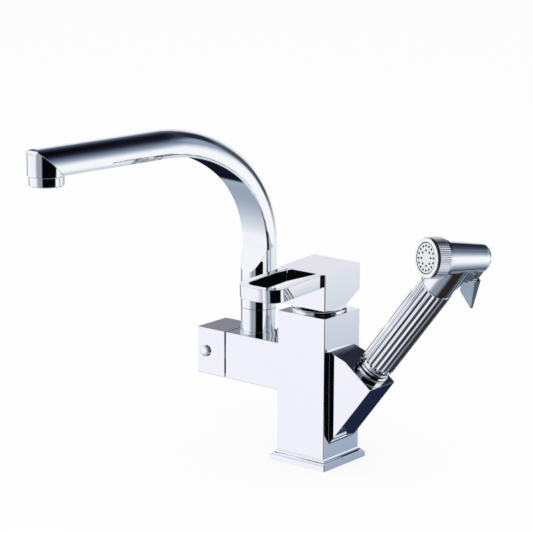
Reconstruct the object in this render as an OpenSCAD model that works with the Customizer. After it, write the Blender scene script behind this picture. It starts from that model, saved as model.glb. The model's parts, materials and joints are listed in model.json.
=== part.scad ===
// Pull-out kitchen faucet with a swivel spout on a side arm and a hand spray in a slanted holster.
// The origin is the centre of the underside of the base flange, +Z is up and the user stands at -Y.

/* [Column and base] */
// Side of the square column
col_w = 48; // [46:1:54]
// Height of the column's top above the deck
col_top = 127.25; // [122:0.25:132]
// Side of the square base flange
flange_w = 57.2; // [56:0.2:70]
// Thickness of the flange's lower slab
flange_slab = 4.2; // [3:0.1:6]
// Height of the flange's stepped upper part
flange_step = 4.3; // [3:0.1:6]
// Bore of the foot, for the stud, the inlets and the hose
foot_bore_d = 34; // [32:0.5:36]
// Height of the foot bore's ceiling above the deck
foot_bore_h = 30; // [26:1:34]
// Thread core of each supply inlet
inlet_d = 8.9; // [8:0.1:10]
// Thread core of the fixing stud hole
stud_d = 6.8; // [6:0.1:8]

/* [Cartridge] */
// Outside diameter of the ceramic cartridge
cart_d = 40; // [38:0.5:41]
// Height of the cartridge housing
cart_h = 33; // [28:1:34]
// Outside diameter of the round collar on the column
collar_d = 46.8; // [44:0.2:47]
// Height of the round collar
collar_h = 3.75; // [3:0.05:4]
// Side of the square lever stem
stem_w = 8; // [7:0.5:9]

/* [Lever] */
// Side of the lever block
block_w = 48; // [44:1:50]
// Gap between the column's top and the lever block
block_gap = 6.6; // [6.2:0.1:9]
// Height of the lever block at its middle
block_h = 31.2; // [29:0.2:36]
// Slope of the lever's top down to the front, in degrees
lever_slope = 2.35; // [0:0.05:4]
// Reach of the loop's front from the column's axis
loop_reach = 86.5; // [78:0.5:100]
// Outside width of the loop
loop_w = 42.4; // [38:0.2:44]
// Height of the loop's bar
loop_bar_h = 11; // [8:0.5:13]
// Thickness of the loop's bar seen from above
loop_bar_t = 6.3; // [4:0.1:8]

/* [Side arm and diverter] */
// Depth of the arm, front to back
arm_d = 37.8; // [36:0.2:46]
// Height of the arm
arm_h = 40.1; // [38:0.1:44]
// Height of the arm's top above the deck
arm_top = 97.7; // [94:0.1:104]
// Length of the fixed arm from the column's face
arm_l = 59.6; // [58:0.2:70]
// Width of the seam between the arm and the knob
knob_seam = 1.6; // [0.8:0.1:3]
// Length of the diverter knob
knob_l = 29.4; // [24:0.2:36]
// Diameter of the round peg on the knob
peg_d = 10.6; // [8:0.1:14]
// How far the peg stands out of the knob
peg_out = 3.6; // [2:0.1:6]

/* [Spout] */
// Distance of the riser's axis from the column's axis
riser_x = 63.2; // [60:0.2:64]
// Outside diameter of the spout tube
spout_d = 31; // [29:0.2:33]
// Wall of the spout tube
spout_wall = 1.8; // [1.4:0.1:2.6]
// Height of the seam between the riser collar and the spout
seam_z = 120; // [114:0.5:126]
// Height where the arch begins
arch_z = 171; // [165:1:190]
// Radius of the arch's first bend
bend_r1 = 88; // [84:1:100]
// Radius of the arch's second bend
bend_r2 = 128; // [110:1:150]
// Distance of the flat belly from the tube's centre line
belly = 5; // [4:0.2:8]
// Reach of the outlet from the riser's axis
spout_reach = 223; // [200:1:250]
// Outside diameter of the round outlet
outlet_d = 30.2; // [28:0.2:30.6]
// How far the aerator stands out below the spout
aerator_out = 8; // [5:0.2:12]
// Turn of the spout to the left, as it stands, in degrees
spout_turn = 8; // [-40:1:60]

/* [Holster and hand spray] */
// Tilt of the hand spray from upright, in degrees
grip_tilt = 37.6; // [36:0.2:40]
// Distance of the holster's mouth from the column's axis
mouth_x = 53; // [51:0.2:56]
// Height of the holster's mouth above the deck
mouth_z = 82.9; // [80:0.1:88]
// Width of the holster, front to back
holster_w = 34; // [32:0.5:40]
// Length of the holster's mouth face
mouth_l = 32.2; // [31:0.2:36]
// Height of the socket collar on the holster's mouth
socket_h = 6; // [4:0.5:8]
// Diameter of the grip
grip_d = 28; // [25:0.5:30]
// Number of flutes round the grip
flutes = 20; // [14:1:26]
// Length of the fluted grip
grip_l = 91; // [80:1:110]
// Length of the smooth neck from the grip to the head's axis
neck_l = 32.7; // [30:0.1:38]
// Turn of the spray head about the grip, in degrees
head_turn = 19.4; // [0:0.2:30]
// Droop of the spray face from square to the grip, in degrees
head_tip = 6.7; // [0:0.1:12]
// Distance of the spray face from the grip's axis
face_out = 32.2; // [31:0.1:40]
// Distance of the head's tail from the grip's axis
tail_out = 26.4; // [26:0.1:36]
// Diameter of the head's body at the knurled ring
body_d = 27.6; // [26:0.2:29]
// Diameter of the head's tail
tail_d = 23; // [21:0.2:26]
// Diameter of the knurled ring
knurl_d = 33; // [31:0.5:36]
// Number of ridges on the knurled ring
knurls = 60; // [40:1:72]
// Width of the trigger's blade at its lower end
trigger_w = 20.4; // [16:0.2:24]
// Reach of the trigger's blade below its pin, along the grip
trigger_l = 34.2; // [30:0.2:40]

/* [Fits] */
// Radial clearance of parts that turn or slide in each other
run_fit = 0.05; // [0.02:0.01:0.1]
// Gap between faces that pass each other
face_gap = 0.3; // [0.2:0.05:0.5]

/* [Hidden] */
$fn = 64;
e = 0.01;
chrome = "gainsboro";
half = col_w / 2;
flange_top = flange_slab + flange_step;
// Cartridge, collar and lever
collar_top = col_top + collar_h;
cart_base = col_top - 8 - cart_h;
cart_top = cart_base + cart_h;
nut_h = 6;
nut_d = cart_d + 2;
pivot_z = collar_top - 3;
rotor_d = 20;
rotor_base = cart_top - 14;
pin_d = 3;
ear_w = 3;
ear_foot = pivot_z - 8.6;
pin_l = stem_w + 2 * ear_w + 0.2;
block_bot = col_top + block_gap;
chamfer_y = 4;
chamfer_rise = 10.6;
stem_top = block_bot + 20;
screw_d = 5;
screw_z = block_bot + 14.6;
loop_in_r = 8;
// Arm and diverter
arm_z = arm_top - arm_h / 2;
arm_end = half + arm_l;
knob_in = arm_end + knob_seam;
knob_out = knob_in + knob_l;
gland_d = 26;
gland_h = 12;
spindle_d = 10;
peg_x = knob_in + 0.7 * knob_l;
way_d = 15;
// Riser and spout
ring_h = 2.8;
ring_d = spout_d + 0.9;
nipple_d = 20;
nipple_top = seam_z + 24;
nipple_foot = arm_z + gland_d / 2 + 0.5;
bush_id = nipple_d + 2 * run_fit;
spout_id = spout_d - 2 * spout_wall;
oring_t = 2;
// the first bend ends where its radius has turned by a 3-4-5 triangle
bend_a1 = atan2(4, 3);
arch_top = arch_z + bend_r1 * sin(bend_a1) + bend_r2 * (1 - sin(bend_a1));
arch_y = bend_r1 * (1 - cos(bend_a1)) + bend_r2 * cos(bend_a1);
cut_start = arch_z - 20.5;
belly_z = arch_top - belly;
outlet_z = belly_z - 0.6;
corner_r = 6;
aer_bot = outlet_z - aerator_out;
aer_d = outlet_d - 2.4;
aer_thread_d = aer_d - 2.4;
aer_bore_d = aer_d - 8;
aer_seat_z = aer_bot + aerator_out + 7;
// Hand spray
mouth_shift = 0.7;
socket_d = grip_d - 0.8;
bush_od = 24;
bush_l = 16;
nut_core_d = 20;
ferrule_h = 6.6;
grip_base = socket_h + face_gap + ferrule_h;
head_s = grip_base + grip_l + neck_l;
hose_d = 16;
tail_r = 6;
knurl_back = 2.4;
knurl_l = 10.5;
band_l = 3.5;
plate_r = 11.8;
knurl_at = face_out - knurl_back - knurl_l;
body_front = knurl_at - band_l;
plate_back = face_out - knurl_back - 4;
core_r = 9;
// Bracket under the tail, and the trigger with its plunger
bracket_w = 15;
bracket_end = tail_out - 0.5;
bracket_bot = -15.3;
tongue_w = 8;
trig_py = tail_out - 4.9;
trig_pz = -11;
blade_top = bracket_bot - 0.6;
blade_lean = 28.3;
plunger_z = -24;
plunger_d = 3.4;
plunger_in = 8;
// where the blade's inner face stands at the plunger's height, less the plunger's round end
plunger_l = trig_py + 1.4 + (blade_top - plunger_z) * tan(blade_lean)
    - (plunger_d / 2 + run_fit) / cos(blade_lean) - plunger_in;

// A square prism with slightly broken upright edges
module post(w, d, z0, z1, r = 0.6) {
    translate([0, 0, z0]) linear_extrude(z1 - z0) rounded(w, d, r);
}

// A rounded rectangle drawn from circles and squares
module rounded(w, d, r) {
    square([w - 2 * r, d], center = true);
    square([w, d - 2 * r], center = true);
    for (x = [-1, 1], y = [-1, 1]) translate([x * (w / 2 - r), y * (d / 2 - r)]) circle(r, $fn = 32);
}

// A rod along X from x0 to x1
module rod_x(x0, x1, dia) {
    translate([x0, 0, 0]) rotate([0, 90, 0]) cylinder(d = dia, h = x1 - x0);
}

// A ring about Z
module tube(od, id, z0, z1) {
    translate([0, 0, z0]) difference() {
        cylinder(d = od, h = z1 - z0);
        translate([0, 0, -1]) cylinder(d = id, h = z1 - z0 + 2);
    }
}

// Carries children from the spout's own frame to the riser
module on_riser() {
    translate([-riser_x, 0, 0]) rotate([0, 0, -spout_turn]) children();
}

// Carries children from the holster's mouth, with +Z along the grip
module on_mouth() {
    translate([mouth_x, 0, mouth_z]) rotate([0, grip_tilt, 0]) children();
}

// Carries children from the head's centre, +Z along the grip and -Y to the spray face
module on_head() {
    on_mouth() translate([0, 0, head_s]) rotate([0, 0, -head_turn]) children();
}

// A solid of revolution about the head's drooping axis, drawn as radius and distance forward
module head_turned() {
    rotate([90 + head_tip, 0, 0]) rotate_extrude() children();
}

// A stepped square plate with an ogee edge, bored for the foot
module base_flange() {
    color(chrome) difference() {
        union() {
            post(flange_w, flange_w, 0, flange_slab, 1);
            post(flange_w - 2.4, flange_w - 2.4, flange_slab - e, flange_slab + 0.5, 0.8);
            intersection() {
                flange_ogee(0);
                flange_ogee(90);
            }
        }
        translate([0, 0, -1]) cylinder(d = foot_bore_d, h = flange_top + 2);
        tube(flange_w - 9, flange_w - 17, -1, 2);
    }
}

// One pass of the flange's stepped edge, a prism along Y turned by a quarter for the other pair of sides
module flange_ogee(turn) {
    w = flange_w / 2 - 1.6;
    s = flange_step;
    rotate([0, 0, turn]) translate([0, w, 0]) rotate([90, 0, 0]) linear_extrude(2 * w) difference() {
        translate([-w, flange_slab]) square([2 * w, s]);
        for (x = [-1, 1]) translate([x * w, flange_slab + s]) circle(r = w - half - 0.4, $fn = 48);
    }
}

// A rubber ring in the groove under the flange
module base_gasket() {
    color("dimgray") tube(flange_w - 9, flange_w - 17, 0, 2);
}

// The square column with the cartridge bore, the foot bore, two inlets, a stud hole and the hose way
module column_body() {
    color(chrome) difference() {
        post(col_w, col_w, flange_top, col_top, 0.6);
        translate([0, 0, cart_base]) cylinder(d = cart_d + 0.2, h = 60);
        translate([0, 0, cart_top]) cylinder(d = nut_d, h = 60);
        translate([0, 0, -1]) cylinder(d = foot_bore_d, h = foot_bore_h + 1);
        for (y = [-1, 1]) translate([-8.5, 6.2 * y, foot_bore_h - 1]) {
            cylinder(d = inlet_d, h = 13);
            cylinder(d = 6, h = cart_base - foot_bore_h + 2);
        }
        translate([2, 13, foot_bore_h - 1]) cylinder(d = stud_d, h = 15);
        on_mouth() translate([0, 0, -100]) cylinder(d = hose_d, h = 100);
        translate([0, 0, arm_z]) rod_x(-half - 1, -8, 8);
        translate([-9, 0, arm_z]) cylinder(d = 6, h = cart_base - arm_z + 1);
    }
}

// The square arm with its water way, the riser's threaded seat and the diverter's bore
module side_arm() {
    color(chrome) difference() {
        translate([-arm_end, 0, arm_z]) rotate([0, 90, 0])
            linear_extrude(arm_l) rounded(arm_h, arm_d, 0.6);
        translate([0, 0, arm_z]) {
            rod_x(-riser_x, -half + 1, 8);
            rod_x(-arm_end - 1, -riser_x, way_d);
            rod_x(-arm_end - 1, -arm_end + gland_h, gland_d);
        }
        translate([-riser_x, 0, arm_z]) cylinder(d = 12, h = arm_h);
        translate([-riser_x, 0, nipple_foot]) cylinder(d = nipple_d + 2 * run_fit, h = 20);
    }
}

// The slanted holster: a prism on the column's side, bored along the grip
module holster() {
    a = mouth_l / 2 + mouth_shift;
    b = mouth_l / 2 - mouth_shift;
    m = [mouth_x - cos(grip_tilt) * a, mouth_z + sin(grip_tilt) * a];
    n = [mouth_x + cos(grip_tilt) * b, mouth_z - sin(grip_tilt) * b];
    color(chrome) difference() {
        translate([0, holster_w / 2, 0]) rotate([90, 0, 0]) linear_extrude(holster_w)
            polygon([[half, m[1] + 5.6], m, n, [half, n[1] - (n[0] - half) / tan(grip_tilt)]]);
        on_mouth() {
            translate([0, 0, -bush_l]) cylinder(d = bush_od, h = bush_l + 1);
            translate([0, 0, -100]) cylinder(d = hose_d, h = 101);
        }
    }
}

// The bright ring on the holster's mouth
module socket_collar() {
    r = socket_d / 2;
    color(chrome) on_mouth() rotate_extrude() difference() {
        translate([nut_core_d / 2 + 1, 0]) square([r - nut_core_d / 2 - 1, socket_h]);
        translate([r + 0.3, socket_h / 2]) circle(r = 0.9, $fn = 24);
        translate([r, socket_h]) rotate(45) square(1.4, center = true);
    }
}

// The plastic bush that guides the hose nut
module guide_bush() {
    color("dimgray") on_mouth() difference() {
        translate([0, 0, -bush_l]) cylinder(d = bush_od, h = bush_l);
        translate([0, 0, -bush_l - 1]) cylinder(d = nut_core_d + 2 * run_fit, h = bush_l + 2);
    }
}

// The round collar with a rounded shoulder that covers the cartridge nut
module dome_collar() {
    r = collar_d / 2;
    q = min(2, collar_h / 2);
    color(chrome) translate([0, 0, col_top]) rotate_extrude() difference() {
        union() {
            translate([13, 0]) square([r - 13, collar_h - q]);
            translate([13, 0]) square([r - q - 13, collar_h]);
            translate([r - q, collar_h - q]) circle(r = q, $fn = 32);
        }
        translate([0, -1]) square([nut_d / 2 - 2, 2.2]);
    }
}

// The threaded ring that holds the cartridge down
module cartridge_nut() {
    color("darkgoldenrod") tube(nut_d - 0.1, rotor_d + 6, cart_top, cart_top + nut_h);
}

// The ceramic cartridge's housing with a round well for its rotor
module cartridge_housing() {
    color("whitesmoke") difference() {
        translate([0, 0, cart_base]) cylinder(d = cart_d, h = cart_h);
        translate([0, 0, rotor_base]) cylinder(d = rotor_d + 2 * run_fit, h = 40);
        for (y = [-1, 1]) translate([-8.5, 6.2 * y, cart_base - 1]) cylinder(d = 6, h = 6);
        translate([-9, 0, cart_base - 1]) cylinder(d = 6, h = 6);
    }
}

// The thin ring at the riser's foot
module riser_base_ring() {
    color(chrome) translate([-riser_x, 0, 0]) tube(ring_d, nipple_d, arm_top, arm_top + ring_h);
}

// The fixed sleeve between the base ring and the spout
module riser_collar() {
    color(chrome) translate([-riser_x, 0, 0])
        tube(spout_d - 0.4, nipple_d, arm_top + ring_h, seam_z);
}

// The hollow nipple on which the spout turns, with grooves for its seals
module swivel_nipple() {
    color("darkgoldenrod") translate([-riser_x, 0, 0]) difference() {
        translate([0, 0, nipple_foot]) cylinder(d = nipple_d, h = nipple_top - nipple_foot);
        translate([0, 0, nipple_foot - 1]) cylinder(d = 12, h = nipple_top);
        for (z = [seam_z + 8, seam_z + 16]) tube(nipple_d + 2, nipple_d - 2 * oring_t, z, z + oring_t);
    }
}

// The two seals in the nipple's grooves
module swivel_o_rings() {
    color("dimgray") translate([-riser_x, 0, 0]) for (z = [seam_z + 8, seam_z + 16])
        tube(nipple_d - 0.1, nipple_d - 2 * oring_t, z, z + oring_t);
}

// The tube's section, round with a flat belly on its inner side (-x)
module spout_section(r, b) {
    intersection() {
        circle(r, $fn = 96);
        translate([-b, -50]) square([100, 100]);
    }
}

// A bend of the section round Z, from the angle a0 to the angle a1
module bend(radius, a0, a1, r, b) {
    difference() {
        rotate([0, 0, a0]) rotate_extrude(angle = a1 - a0 + 10, $fn = 128)
            translate([radius, 0]) spout_section(r, b);
        rotate([0, 0, a1]) translate([0, 0, -50]) cube([300, 300, 100]);
    }
}

// The run of the spout for a radius r and a belly at distance b, from height lo to the outlet's axis
module spout_run(r, b, lo) {
    // upright foot, flattened by a slanted cut on the inside of the bend
    difference() {
        translate([0, 0, lo]) cylinder(r = r, h = arch_z - lo, $fn = 96);
        translate([50, 0, 0]) rotate([90, 0, -90]) linear_extrude(100)
            polygon([[r, cut_start], [b, arch_z], [b, arch_z + 1], [60, arch_z + 1], [60, cut_start]]);
    }
    // first bend
    translate([0, -bend_r1, arch_z]) rotate([90, 0, 90]) bend(bend_r1, 0, bend_a1, r, b);
    // second bend, struck from a centre farther down the same radius
    gap = bend_r2 - bend_r1;
    translate([0, -bend_r1 - gap * cos(bend_a1), arch_z - gap * sin(bend_a1)])
        rotate([90, 0, 90]) bend(bend_r2, bend_a1, 90, r, b);
    // level run up to the mitre
    difference() {
        translate([0, -spout_reach - r, arch_top]) rotate([0, -90, -90])
            linear_extrude(spout_reach + r - arch_y) spout_section(r, b);
        translate([0, -spout_reach, arch_top]) rotate([45, 0, 0])
            translate([-50, -100, -50]) cube([100, 100, 100]);
    }
}

// The spout: a bent tube with a round foot, a flat belly and a mitred outlet
module spout_tube() {
    r = spout_d / 2;
    color(chrome) on_riser() difference() {
        union() {
            spout_run(r, belly, seam_z + face_gap);
            outlet_leg(outlet_d, outlet_z, 0);
        }
        outlet_corner(outlet_d / 2, r);
        difference() {
            spout_run(r - spout_wall, belly - spout_wall, seam_z - 1);
            outlet_corner(outlet_d / 2 - spout_wall, r - spout_wall);
        }
        outlet_leg(aer_bore_d, outlet_z - 1, 1);
        translate([0, -spout_reach, outlet_z - 1])
            cylinder(d = aer_thread_d, h = aer_seat_z - outlet_z + 1);
    }
}

// What the outlet's rounded outer corner takes away, for a leg and a run with the radii leg and run
module outlet_corner(leg, run) {
    translate([0, -spout_reach - leg + corner_r, arch_top + run - corner_r]) difference() {
        translate([-50, -corner_r - 5, 0]) cube([100, corner_r + 5, corner_r + 5]);
        rod_x(-60, 60, 2 * corner_r);
    }
}

// An upright leg of the outlet, cut off on the mitre where it meets the level run
module outlet_leg(d, z, past) {
    difference() {
        translate([0, -spout_reach, z]) cylinder(d = d, h = arch_top + spout_d / 2 - z, $fn = 96);
        translate([0, -spout_reach + past, arch_top]) rotate([45, 0, 0])
            translate([-50, 0, -50]) cube([100, 100, 100]);
    }
}

// The plastic bush on which the spout turns round the nipple
module spout_bush() {
    color("whitesmoke") on_riser() tube(spout_id, bush_id, seam_z + face_gap, nipple_top - 2);
}

// The round aerator housing that stands out of the outlet
module aerator_housing() {
    r = aer_d / 2;
    color(chrome) on_riser() translate([0, -spout_reach, aer_bot]) rotate_extrude() difference() {
        union() {
            square([r - 0.8, aerator_out]);
            translate([0, 0.8]) square([r, aerator_out - 1.4]);
            translate([r - 0.8, 0.8]) circle(r = 0.8, $fn = 24);
            square([aer_thread_d / 2 - run_fit, aerator_out + 5]);
        }
        translate([-1, -1]) square([r - 1.4, 4]);
        translate([-1, -1]) square([aer_bore_d / 2 + 1, aerator_out + 8]);
    }
}

// The plastic insert with its ring of jets
module aerator_insert() {
    color("whitesmoke") on_riser() translate([0, -spout_reach, aer_bot + 2.4]) difference() {
        cylinder(r = aer_bore_d / 2 - run_fit, h = aerator_out);
        translate([0, 0, -1]) cylinder(r = 2, h = 4);
        for (ring = [[6, 4.2], [12, 8]], k = [0 : ring[0] - 1])
            rotate([0, 0, k * 360 / ring[0]]) translate([ring[1], 0, -1])
                cylinder(r = 1.3, h = 4, $fn = 16);
    }
}

// The rubber washer on top of the aerator
module aerator_washer() {
    color("dimgray") on_riser() translate([0, -spout_reach, 0])
        tube(aer_thread_d - 0.4, aer_bore_d, aer_seat_z - 2, aer_seat_z);
}

// The cartridge's rotor: a disc with two ears that carry the stem's pin
module cartridge_rotor() {
    color("darkgoldenrod") difference() {
        union() {
            translate([0, 0, rotor_base + run_fit])
                cylinder(d = rotor_d, h = ear_foot - rotor_base - run_fit);
            for (x = [-1, 1]) translate([x * (stem_w / 2 + 0.1 + ear_w / 2), 0, 0]) {
                translate([-ear_w / 2, -4, ear_foot - 1]) cube([ear_w, 8, pivot_z - ear_foot + 1]);
                translate([-ear_w / 2, 0, pivot_z]) rod_x(0, ear_w, 8);
            }
        }
        translate([0, 0, pivot_z]) rod_x(-20, 20, pin_d + 0.04);
        for (a = [0 : 60 : 300]) rotate([0, 0, a]) translate([5.5, 0, rotor_base - 1])
            cylinder(d = 3, h = 6);
    }
}

// The pin on which the stem rocks
module lever_pin() {
    color("silver") translate([0, 0, pivot_z]) rod_x(-pin_l / 2, pin_l / 2, pin_d);
}

// The square stem that the lever lifts and turns
module lever_stem() {
    color("darkgoldenrod") difference() {
        translate([-stem_w / 2, -stem_w / 2, pivot_z - 7]) cube([stem_w, stem_w, stem_top - pivot_z + 7]);
        translate([0, 0, pivot_z]) rod_x(-20, 20, pin_d + 2 * run_fit);
    }
}

// The lever block: a square block with a sloping top, a hollow underside and a cut-away rear foot
module lever_block() {
    w = block_w / 2;
    t = tan(lever_slope);
    color(chrome) difference() {
        intersection() {
            translate([-w, 0, 0]) rotate([90, 0, 90]) linear_extrude(block_w)
                polygon([[-w, block_bot], [chamfer_y, block_bot], [w, block_bot + chamfer_rise],
                         [w, block_bot + block_h + w * t], [-w, block_bot + block_h - w * t]]);
            post(block_w, block_w, block_bot - 1, block_bot + block_h + 5, 0.8);
        }
        tube(30, 15, block_bot - 1, block_bot + 18);
        translate([0, 0, block_bot - 1]) cylinder(d = 20, h = 8);
        translate([-stem_w / 2, -stem_w / 2, block_bot]) cube([stem_w, stem_w, stem_top - block_bot]);
        translate([0, stem_w / 2 - 1, screw_z]) rotate([-90, 0, 0]) cylinder(d = screw_d, h = 40);
    }
}

// The plan of the loop: rounded outside, slightly bowed in front, with its ends on the block's front
module loop_plan() {
    w = loop_w / 2;
    c = 12;
    front = -loop_reach + 1;
    in_w = w - loop_bar_t;
    in_front = -loop_reach + loop_bar_t + 0.9;
    difference() {
        union() {
            translate([-w, front + c]) square([2 * w, -block_w / 2 - front - c]);
            translate([-w + c, front]) square([2 * (w - c), 2 * c]);
            for (x = [-1, 1]) translate([x * (w - c), front + c]) circle(r = c);
            intersection() {
                translate([0, -loop_reach + 38]) circle(r = 38, $fn = 96);
                translate([-w + c, -loop_reach - 1]) square([2 * (w - c), 10]);
            }
        }
        translate([-in_w, in_front + loop_in_r]) square([2 * in_w, loop_reach]);
        translate([-in_w + loop_in_r, in_front]) square([2 * (in_w - loop_in_r), loop_reach]);
        for (x = [-1, 1]) translate([x * (in_w - loop_in_r), in_front + loop_in_r]) circle(r = loop_in_r);
    }
}

// The open loop handle, level with the block's sloping top
module lever_loop() {
    color(chrome) difference() {
        translate([0, 0, block_bot + block_h]) rotate([lever_slope, 0, 0])
            translate([0, 0, -loop_bar_h]) linear_extrude(loop_bar_h) loop_plan();
        translate([-50, -block_w / 2, block_bot]) cube([100, 20, 100]);
    }
}

// The grub screw that clamps the block on the stem
module lever_set_screw() {
    color("dimgray") translate([0, stem_w / 2, screw_z]) rotate([-90, 0, 0]) difference() {
        cylinder(d = screw_d - 0.04, h = 12);
        translate([0, 0, 9]) cylinder(d = 2.9, h = 4, $fn = 6);
    }
}

// The threaded nut in the arm's end with its round lip in the seam
module diverter_gland() {
    color("darkgoldenrod") translate([0, 0, arm_z]) difference() {
        union() {
            rod_x(-arm_end, -arm_end + gland_h, gland_d);
            rod_x(-arm_end - knob_seam + face_gap, -arm_end, gland_d + 6);
        }
        rod_x(-knob_in - 1, 0, spindle_d + 2 * run_fit);
    }
}

// The spindle that the knob turns, with a groove and a flow port at its inner end
module diverter_spindle() {
    color("darkgoldenrod") translate([0, 0, arm_z]) difference() {
        union() {
            rod_x(-knob_in - 14, -arm_end + gland_h + 6, spindle_d);
            rod_x(-arm_end + gland_h + 0.3, -arm_end + gland_h + 6, way_d - 0.2);
        }
        translate([-arm_end + gland_h + 2, -3, 2]) cube([6, 6, 10]);
    }
}

// The square knob, hollow behind, with a boss for the spindle
module diverter_knob() {
    color(chrome) translate([0, 0, arm_z]) difference() {
        translate([-knob_out, 0, 0]) rotate([0, 90, 0]) linear_extrude(knob_l) rounded(arm_h, arm_d, 0.6);
        difference() {
            translate([-knob_in - knob_l + 4, -arm_d / 2 + 4, -arm_h / 2 + 4])
                cube([knob_l, arm_d - 8, arm_h - 8]);
            rod_x(-knob_out, -knob_in, 17);
        }
        rod_x(-knob_in - 14, 0, spindle_d);
        translate([-peg_x, -arm_d / 2 - 1, 0]) rotate([-90, 0, 0]) cylinder(d = 5, h = 6);
    }
}

// The round domed peg on the knob's front
module knob_peg() {
    r = peg_d / 2;
    color(chrome) translate([-peg_x, -arm_d / 2, arm_z]) rotate([90, 0, 0]) rotate_extrude() {
        translate([0, -4]) square([2.5, 4 + e]);
        square([r, peg_out - 1.2]);
        square([r - 1.2, peg_out]);
        translate([r - 1.2, peg_out - 1.2]) circle(r = 1.2, $fn = 24);
    }
}

// The round nut on the hose's end, which slides in the guide bush
module hose_nut() {
    color("silver") on_mouth() difference() {
        translate([0, 0, -bush_l + 1]) cylinder(d = nut_core_d, h = grip_base + bush_l - 1);
        translate([0, 0, -bush_l]) cylinder(d = 12, h = grip_base + bush_l + 1);
    }
}

// The bright ferrule between the socket collar and the grip
module grip_ferrule() {
    r = grip_d / 2 - 1;
    color(chrome) on_mouth() translate([0, 0, socket_h + face_gap]) rotate_extrude() difference() {
        translate([nut_core_d / 2, 0]) square([r - nut_core_d / 2, ferrule_h]);
        translate([r + 0.4, ferrule_h / 2]) circle(r = 1.3, $fn = 24);
        translate([r, 0]) rotate(45) square(1, center = true);
    }
}

// The fluted grip: a tube with round grooves along its outside
module fluted_grip() {
    r = grip_d / 2;
    color(chrome) on_mouth() translate([0, 0, grip_base]) linear_extrude(grip_l) difference() {
        circle(r, $fn = 96);
        circle(d = 16);
        for (k = [0 : flutes - 1]) rotate(k * 360 / flutes) translate([r + 0.2, 0])
            circle(r = 1.45, $fn = 16);
    }
}

// The spray head: a smooth neck, a round head across it and the bracket that carries the trigger
module spray_head() {
    r = grip_d / 2;
    t = tail_d / 2 - tail_r;
    color(chrome) on_head() difference() {
        union() {
            translate([0, 0, -neck_l]) cylinder(r1 = r - 0.3, r2 = r - 1.6, h = neck_l);
            head_turned() {
                polygon(concat([[0, -tail_out]],
                    [for (a = [80 : -16 : 0]) [t + tail_r * cos(a), -tail_out + tail_r - tail_r * sin(a)]],
                    [[body_d / 2, body_front], [0, body_front]]));
                translate([0, body_front - e]) square([body_d / 2 + 1.5, band_l - 0.1 + e]);
                square([core_r, plate_back]);
            }
            across(bracket_w) bracket_side(r);
        }
        // slot for the trigger's tongue
        translate([-tongue_w / 2 - 0.2, trig_py - 4.6, -40]) cube([tongue_w + 0.4, 20, 40 + trig_pz + 3.6]);
        // pin hole and plunger bore
        translate([0, trig_py, trig_pz]) rod_x(-20, 20, pin_d + 0.04);
        translate([0, 4, plunger_z]) rotate([-90, 0, 0]) cylinder(d = plunger_d + 2 * run_fit, h = 30);
        // water way up the neck and out to the face
        translate([0, 0, -neck_l - 1]) cylinder(d = 7, h = neck_l + 5);
        rotate([90 + head_tip, 0, 0]) translate([0, 0, -1]) cylinder(d = 6, h = face_out + 1);
    }
}

// A prism of a width w across the head, its side drawn as distance back and distance along the grip
module across(w) {
    translate([-w / 2, 0, 0]) rotate([90, 0, 90]) linear_extrude(w) children();
}

// The bracket's side: up the back of the neck and, past a fillet, along under the tail
module bracket_side(r) {
    back = r - 0.5;
    round = 5;
    polygon([[2, -3], [2, -neck_l], [r - 2.8, -neck_l], [back, -neck_l + 8.5], [back, -3]]);
    difference() {
        translate([back - 1, bracket_bot - round]) square([round + 1, round + 6]);
        translate([back + round, bracket_bot - round]) circle(r = round, $fn = 48);
    }
    translate([back + round - e, bracket_bot]) square([bracket_end - back - round + e, -bracket_bot - 3]);
}

// The knurled ring round the head's front
module knurled_ring() {
    color(chrome) on_head() rotate([90 + head_tip, 0, 0]) translate([0, 0, knurl_at]) difference() {
        linear_extrude(knurl_l) difference() {
            circle(d = knurl_d, $fn = 96);
            circle(r = core_r + run_fit);
            for (k = [0 : knurls - 1]) rotate(k * 360 / knurls)
                translate([knurl_d / 2 + 0.2, 0]) circle(r = 0.6, $fn = 8);
        }
        translate([0, 0, plate_back - knurl_at]) cylinder(r = plate_r + run_fit, h = 5);
    }
}

// The plain bright rim in front of the knurled ring
module front_rim() {
    color(chrome) on_head() head_turned() difference() {
        translate([plate_r + 0.8, face_out - knurl_back]) square([15.8 - plate_r - 0.8, knurl_back]);
        translate([15.8, face_out]) rotate(45) square(1.2, center = true);
    }
}

// The dark ring between the rim and the spray plate
module face_gasket() {
    color("dimgray") on_head() head_turned()
        translate([plate_r + run_fit, face_out - knurl_back]) square([0.8 - run_fit, knurl_back - 0.8]);
}

// The spray plate with two rings of jets
module spray_face() {
    color("silver") on_head() rotate([90 + head_tip, 0, 0]) translate([0, 0, plate_back]) difference() {
        cylinder(r = plate_r, h = face_out - 0.2 - plate_back);
        for (ring = [[8, 0.51], [16, 0.82]], k = [0 : ring[0] - 1])
            rotate([0, 0, k * 360 / ring[0]]) translate([ring[1] * plate_r, 0, 2])
                cylinder(r = 0.8, h = 10, $fn = 16);
    }
}

// The pin through the bracket and the trigger's tongue
module trigger_pin() {
    color("silver") on_head() translate([0, trig_py, trig_pz])
        rod_x(-bracket_w / 2, bracket_w / 2, pin_d);
}

// Points of a half circle round c, from the angle a0 to a0 + 180
function half_round(c, r, a0, n = 8) =
    [for (k = [0 : n]) c + r * [cos(a0 + 180 * k / n), sin(a0 + 180 * k / n)]];

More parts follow.
